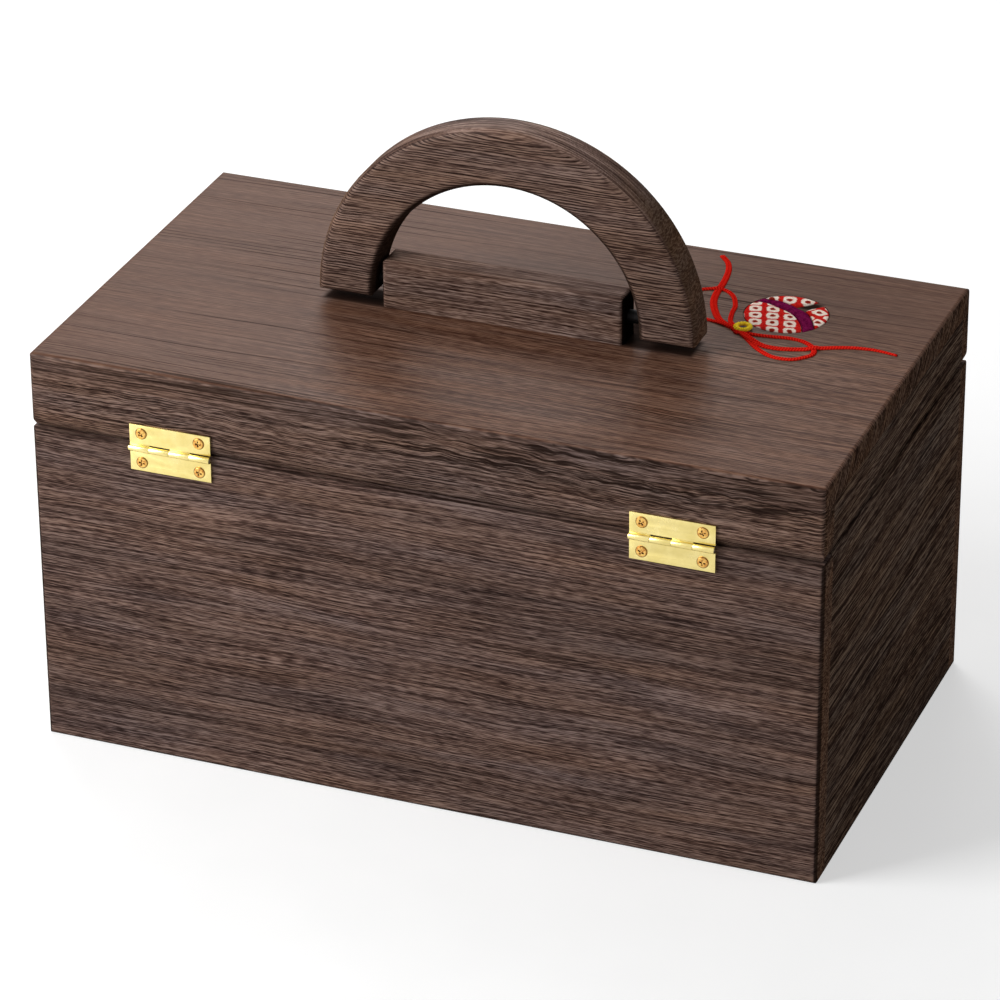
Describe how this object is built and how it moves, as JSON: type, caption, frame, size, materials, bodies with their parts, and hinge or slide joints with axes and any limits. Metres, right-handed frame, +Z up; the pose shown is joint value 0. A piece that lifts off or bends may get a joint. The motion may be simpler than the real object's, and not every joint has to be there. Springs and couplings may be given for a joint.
{
  "type": "sewing box",
  "caption": "Wooden sewing box with a hinged lid, brass hinges and hook latch, a folding arched handle on the lid, an inlaid cloth ball with a tied cord, and a lift-out tray.",
  "frame": {"origin": "on the table, under the middle of the box", "axes": "+Z up, -Y the front with the latch, +Y the back with the hinges, +X the right-hand end seen from the front"},
  "size_m": [0.305, 0.1784, 0.2379],
  "materials": {
    "outer_wood": "dark brown, burnt and brushed, with raised grain, satin",
    "inner_wood": "plain pale wood, planed, matt",
    "brass": "polished",
    "steel": "bright",
    "dark_steel": "blackened",
    "red_cloth": "crinkled woven cloth",
    "purple_cloth": "crinkled woven cloth",
    "gold_cord": "twisted cord",
    "red_cord": "flat silky cord"
  },
  "bodies": {
    "body": {"body_front": "outer_wood", "body_back": "outer_wood", "body_left": "outer_wood", "body_right": "outer_wood", "body_bottom": "inner_wood", "tray_ledge_left": "inner_wood", "tray_ledge_right": "inner_wood", "hinge_left_body_leaf": "brass", "hinge_right_body_leaf": "brass", "hinge_left_pin": "steel", "hinge_right_pin": "steel", "hinge_body_screws": "brass", "latch_body_plate": "brass", "latch_knob": "brass", "latch_body_screws": "brass"},
    "lid": {"lid_top": "outer_wood", "lid_front": "outer_wood", "lid_back": "outer_wood", "lid_left": "outer_wood", "lid_right": "outer_wood", "hinge_left_lid_leaf": "brass", "hinge_right_lid_leaf": "brass", "hinge_lid_screws": "brass", "handle_block": "outer_wood", "handle_pins": "dark_steel", "handle_block_screws": "steel", "latch_lid_plate": "brass", "latch_rivet": "brass", "latch_lid_screws": "brass", "inlay_ball_front": "red_cloth", "inlay_ball_band": "purple_cloth", "inlay_ball_back": "red_cloth", "inlay_ball_side": "red_cloth", "inlay_ring": "gold_cord", "inlay_cord": "red_cord"},
    "handle": {"handle_arch": "outer_wood"},
    "hook": {"latch_hook": "brass"},
    "tray": {"tray_front": "inner_wood", "tray_back": "inner_wood", "tray_left": "inner_wood", "tray_right": "inner_wood", "tray_base_panel": "inner_wood", "tray_cross_divider": "inner_wood", "tray_left_divider": "inner_wood", "tray_right_divider": "inner_wood"}
  },
  "joints": [
    {"name": "lid_hinge", "type": "hinge", "parent": "body", "child": "lid", "pos_m": [0, 0.08795, 0.1294], "axis": [-1, 0, 0], "range_deg": [0, 180]},
    {"name": "handle_pivot", "type": "hinge", "parent": "lid", "child": "handle", "pos_m": [-0.0022, -0.0011, 0.1693], "axis": [1, 0, 0], "range_deg": [-90, 90]},
    {"name": "tray_lift", "type": "slide", "parent": "body", "child": "tray", "axis": [0, 0, 1], "range_m": [0, 0.022]},
    {"name": "latch_turn", "type": "hinge", "parent": "lid", "child": "hook", "pos_m": [0, -0.0878, 0.1434], "axis": [0, 1, 0], "range_deg": [0, 100]}
  ]
}
